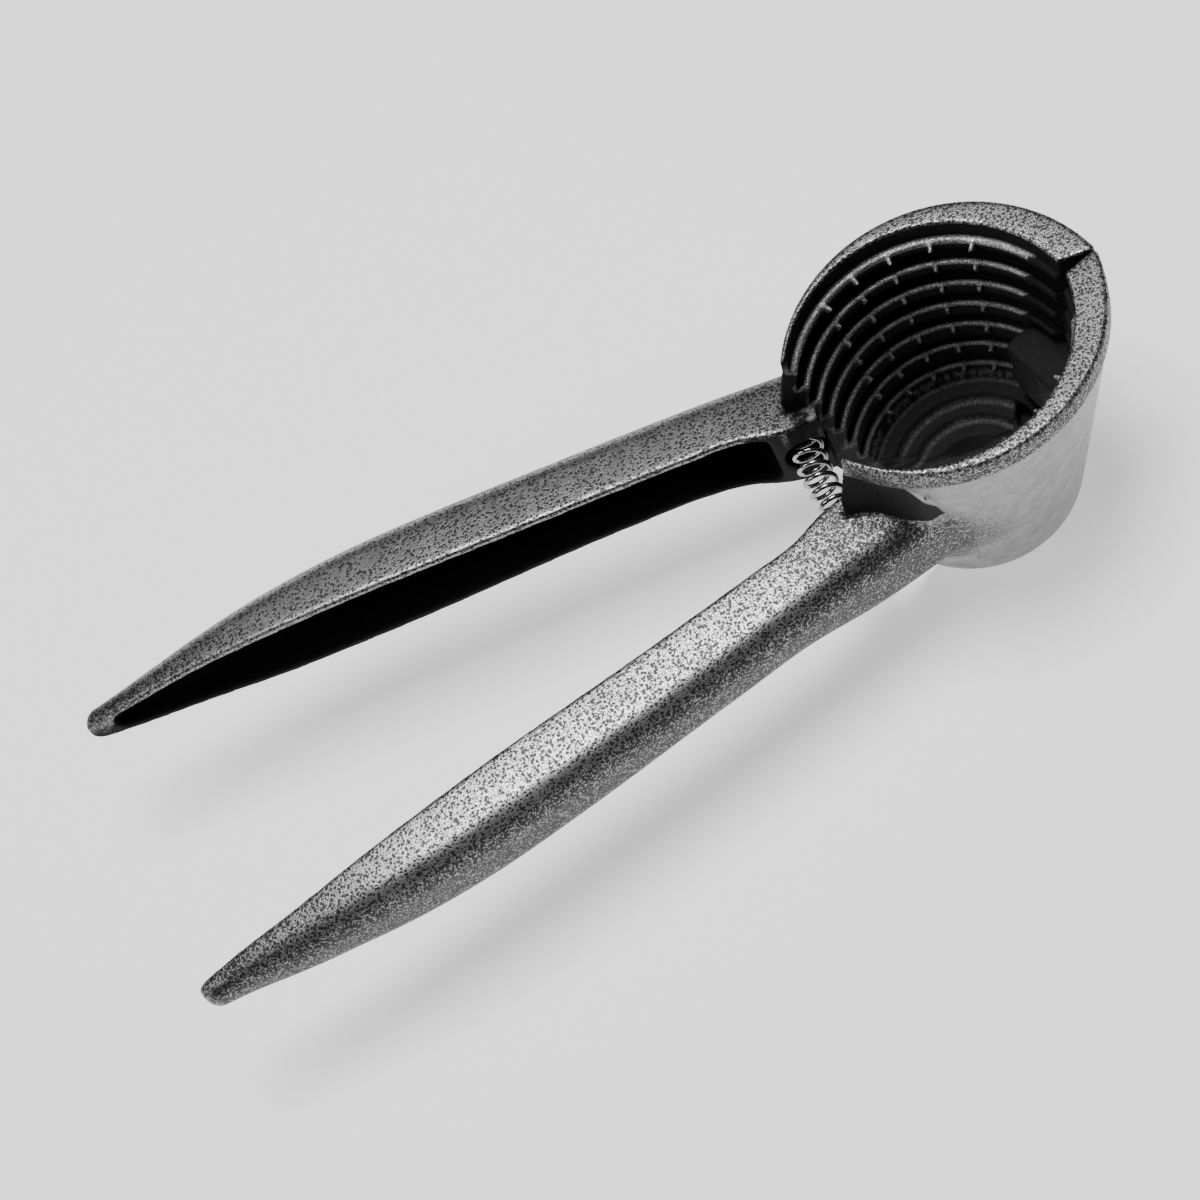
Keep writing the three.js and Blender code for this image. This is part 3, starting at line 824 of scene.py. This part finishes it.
# ---- materials ----------------------------------------------------------------------------
class Graph:
    """A few short calls for building a node material."""

    def __init__(self, name):
        self.material = bpy.data.materials.new(name)
        self.material.use_nodes = True
        self.tree = self.material.node_tree
        self.shader = self.tree.nodes["Principled BSDF"]
        coordinate = self.tree.nodes.new("ShaderNodeTexCoord")
        scale = self.tree.nodes.new("ShaderNodeVectorMath")
        scale.operation = "SCALE"
        scale.inputs["Scale"].default_value = 1 / MM
        self.tree.links.new(coordinate.outputs["Object"], scale.inputs[0])
        self.place = scale.outputs[0]

    def link(self, source, target):
        self.tree.links.new(source, target)

    def noise(self, scale, detail, roughness=0.5):
        node = self.tree.nodes.new("ShaderNodeTexNoise")
        node.inputs["Scale"].default_value = scale
        node.inputs["Detail"].default_value = detail
        node.inputs["Roughness"].default_value = roughness
        self.link(self.place, node.inputs["Vector"])
        return node.outputs["Fac"]

    def cells(self, scale):
        node = self.tree.nodes.new("ShaderNodeTexVoronoi")
        node.inputs["Scale"].default_value = scale
        self.link(self.place, node.inputs["Vector"])
        return node.outputs["Distance"]

    def ramp(self, source, stops):
        """A smooth step between two stops, each the source's value and the result there."""
        node = self.tree.nodes.new("ShaderNodeMapRange")
        node.interpolation_type = "SMOOTHSTEP"
        self.link(source, node.inputs["Value"])
        (node.inputs["From Min"].default_value, node.inputs["To Min"].default_value) = stops[0]
        (node.inputs["From Max"].default_value, node.inputs["To Max"].default_value) = stops[1]
        return node.outputs["Result"]

    def math(self, operation, first, second):
        """One operation on two numbers or results of earlier nodes."""
        node = self.tree.nodes.new("ShaderNodeMath")
        node.operation = operation
        for socket, value in zip(node.inputs, (first, second)):
            if isinstance(value, (int, float)):
                socket.default_value = value
            else:
                self.link(value, socket)
        return node.outputs[0]

    def mix(self, share, first, second):
        """Two colours, or results of earlier mixes, in the share given."""
        node = self.tree.nodes.new("ShaderNodeMix")
        node.data_type = "RGBA"
        self.link(share, node.inputs["Factor"])
        for socket, value in zip((node.inputs[6], node.inputs[7]), (first, second)):
            if isinstance(value, tuple):
                socket.default_value = (*value, 1)
            else:
                self.link(value, socket)
        return node.outputs[2]

    def attribute(self, name):
        node = self.tree.nodes.new("ShaderNodeAttribute")
        node.attribute_name = name
        return node.outputs["Fac"]

    def bump(self, height, strength, distance):
        node = self.tree.nodes.new("ShaderNodeBump")
        node.inputs["Strength"].default_value = strength
        node.inputs["Distance"].default_value = distance
        self.link(height, node.inputs["Height"])
        self.link(node.outputs["Normal"], self.shader.inputs["Normal"])


def grey(value):
    """A grey with a very slight touch of blue."""
    return (value, value, value * 1.01)


PIT_SCALE = 1.55
GRAIN_SCALE = 3.9
ENAMEL_TONES = (0.29, 0.39)
GRAIN_TONE = 0.03
# Near-black painted shade inside the cup, in the handle's channel and on the parting faces.
INNER_SHADE_TONES = (0.006, 0.013)
# Colours of the painted highlights on the ledges' edges, light and dark with the grain.
HIGHLIGHT_TONES = (0.6, 0.2)
ENAMEL_SPECULAR = 0.1
ENAMEL_BUMP = -0.0001


def dark_grain(graph):
    """The enamel's grain, and the same together with its pits, both denser where painted shade is laid on,
    faded where the zone is calm.
    """
    grain_and_shade = graph.attribute("grain_and_shade")
    reach = graph.math("SUBTRACT", graph.cells(PIT_SCALE), graph.math("MULTIPLY", grain_and_shade, 0.1))
    pits = graph.ramp(reach, ((0.28, 1.0), (0.44, 0.0)))
    level = graph.math("SUBTRACT", graph.noise(GRAIN_SCALE, 1.5), graph.math("MULTIPLY", grain_and_shade, 0.16))
    grain = graph.ramp(level, ((0.32, 1.0), (0.44, 0.0)))
    fade = graph.math("SUBTRACT", 0.95, graph.math("MULTIPLY", graph.attribute("calm"), 0.65))
    return grain, graph.math("MULTIPLY", graph.math("MAXIMUM", pits, grain), fade)


def hammered_enamel(name):
    """Silver-grey hammered enamel: fine light grain with small dark pits, their density carrying painted
    shade; near-black painted shade inside, the web's facet painted dark as a reflection, and painted
    highlights on the ledges' edges.
    """
    graph = Graph(name)
    # The web's facet is painted dark as a painted reflection; with the inner painted shade it gets the
    # near-black colour and a dull finish.
    facet = graph.ramp(graph.attribute("facet"), ((0.0, 0.0), (0.3, 1.0)))
    painted_dark = graph.math("MAXIMUM", graph.attribute("inner_shade"), facet)
    grain, dark = dark_grain(graph)
    clouds = graph.ramp(graph.noise(0.35, 3.0), ((0.3, 0.0), (0.7, 1.0)))
    light = graph.mix(clouds, grey(ENAMEL_TONES[0]), grey(ENAMEL_TONES[1]))
    enamel = graph.mix(dark, light, grey(GRAIN_TONE))
    # Near-black painted shade for the inner zone.
    inner_shade = graph.mix(graph.noise(0.8, 3.0), grey(INNER_SHADE_TONES[0]), grey(INNER_SHADE_TONES[1]))
    # Painted highlights where the ledges' edges catch the light, over the inner painted shade.
    lit_edges = graph.mix(grain, grey(HIGHLIGHT_TONES[0]), grey(HIGHLIGHT_TONES[1]))
    edge_highlight = graph.attribute("edge_highlight")
    inside = graph.mix(edge_highlight, inner_shade, lit_edges)
    graph.link(graph.mix(painted_dark, enamel, inside), graph.shader.inputs["Base Color"])
    dull = graph.math("MULTIPLY", painted_dark, graph.math("SUBTRACT", 1.0, edge_highlight))
    graph.link(graph.ramp(dull, ((0.0, 0.85), (1.0, 0.0))), graph.shader.inputs["Metallic"])
    enamel_rough = graph.ramp(dark, ((0.0, 0.34), (1.0, 0.46)))
    rough = graph.math("ADD", enamel_rough, graph.math("MULTIPLY", dull, 0.24))
    graph.shader.inputs["Specular IOR Level"].default_value = ENAMEL_SPECULAR
    graph.link(rough, graph.shader.inputs["Roughness"])
    height = graph.math("ADD", dark, graph.math("MULTIPLY", graph.noise(0.9, 2.0), 0.5))
    graph.bump(height, 0.25, ENAMEL_BUMP)
    return graph.material


def bright_steel(name, tone, grain):
    """Drawn or turned steel: fine grain and slight stains."""
    graph = Graph(name)
    stains = graph.ramp(graph.noise(0.7, 4.0), ((0.35, 0.0), (0.7, 1.0)))
    graph.link(graph.mix(stains, grey(tone * 0.8), grey(tone)), graph.shader.inputs["Base Color"])
    graph.shader.inputs["Metallic"].default_value = 1.0
    fine = graph.noise(grain, 3.0, 0.6)
    graph.link(graph.ramp(fine, ((0.3, 0.12), (0.7, 0.26))), graph.shader.inputs["Roughness"])
    graph.bump(fine, 0.12, 0.00004)
    return graph.material


FLOOR_GLOW = 0.72


def floor_material():
    """The studio's white ground, which gives off some light of its own."""
    graph = Graph("floor_white")
    tone = graph.noise(0.002, 2.0)
    graph.link(graph.mix(tone, (0.86, 0.86, 0.86), (0.9, 0.9, 0.9)), graph.shader.inputs["Base Color"])
    graph.shader.inputs["Roughness"].default_value = 0.8
    graph.shader.inputs["Emission Color"].default_value = (1, 1, 1, 1)
    graph.shader.inputs["Emission Strength"].default_value = FLOOR_GLOW
    return graph.material


# ---- studio ---------------------------------------------------------------------------------
# The camera was fitted to the outlines of the rims, the base and the handles.
CAMERA_AZIMUTH = math.radians(1.64)
CAMERA_ELEVATION = math.radians(60.33)
CAMERA_ROLL = math.radians(-31.08)
CAMERA_DISTANCE = 0.5
CAMERA_TARGET = (0.00407, 0.0, 0.03897)
CAMERA_LENS = 93.9
CAMERA_SHIFT = (-0.0272, -0.0408)
# Name, place, size in metres and power in watts; both point at the frame's origin.
LIGHTS = [
    ("top_light", (0.05, 0.14, 1.1), 0.5, 13.5),
    ("left_light", (-1.0, -0.2, 0.7), 0.6, 4),
]
FLOOR_SIZE = 6
FLOOR_GAP = 0.0005
WORLD_GREY = (0.5, 0.5, 0.5, 1)
WORLD_STRENGTH = 0.08


def make_camera():
    """Camera at the photograph's viewing angle, turned about its own axis by the roll."""
    azimuth, elevation, roll = CAMERA_AZIMUTH, CAMERA_ELEVATION, CAMERA_ROLL
    level = math.cos(elevation)
    back = Vector((math.sin(azimuth) * level, -math.cos(azimuth) * level, math.sin(elevation)))
    right = Vector((math.cos(azimuth), math.sin(azimuth), 0))
    up = back.cross(right)
    rolled_right = right * math.cos(roll) + up * math.sin(roll)
    rolled_up = up * math.cos(roll) - right * math.sin(roll)
    data = bpy.data.cameras.new("camera")
    data.lens = CAMERA_LENS
    data.sensor_width = 36
    data.shift_x, data.shift_y = CAMERA_SHIFT
    data.clip_start = 0.01
    camera = bpy.data.objects.new("camera", data)
    turn = Matrix((rolled_right, rolled_up, back)).transposed().to_4x4()
    camera.matrix_world = Matrix.Translation(Vector(CAMERA_TARGET) + back * CAMERA_DISTANCE) @ turn
    bpy.context.scene.collection.objects.link(camera)
    bpy.context.scene.camera = camera


def area_light(name, place, size, power):
    """A round light that points at the frame's origin."""
    data = bpy.data.lights.new(name, "AREA")
    data.shape = "DISK"
    data.size = size
    data.energy = power
    light = bpy.data.objects.new(name, data)
    light.location = place
    light.rotation_euler = (-Vector(place)).to_track_quat("-Z", "Y").to_euler()
    bpy.context.scene.collection.objects.link(light)


def make_studio():
    """Ground, lights and a faint grey surrounding."""
    bpy.ops.mesh.primitive_plane_add(size=FLOOR_SIZE, location=(0, 0, cad_box[0][2] - FLOOR_GAP))
    floor = bpy.context.object
    floor.name = "floor"
    floor.data.materials.append(floor_material())
    for name, place, size, power in LIGHTS:
        area_light(name, place, size, power)
    world = bpy.data.worlds.new("studio")
    world.use_nodes = True
    world.node_tree.nodes["Background"].inputs["Color"].default_value = WORLD_GREY
    world.node_tree.nodes["Background"].inputs["Strength"].default_value = WORLD_STRENGTH
    bpy.context.scene.world = world


# ---- assembly -------------------------------------------------------------------------------
make_camera()
make_studio()
u_axis, v_axis, z_axis = np.ix_(*GRID_AXES)
shared_field = common_field(u_axis, v_axis, z_axis, GRID_AXES)
casting("left_casting_body", "left_half", "left", 1, shared_field,
        [TONGUE], [LOWER_KNUCKLE, UPPER_KNUCKLE], hammered_enamel("left_enamel"))
casting("right_casting_body", "right_half", "right", -1, shared_field,
        [LOWER_KNUCKLE, UPPER_KNUCKLE], [TONGUE], hammered_enamel("right_enamel"))
make_spring(bright_steel("spring_wire_steel", 0.42, 6.0))
make_pin(bright_steel("pin_turned_steel", 0.62, 9.0))
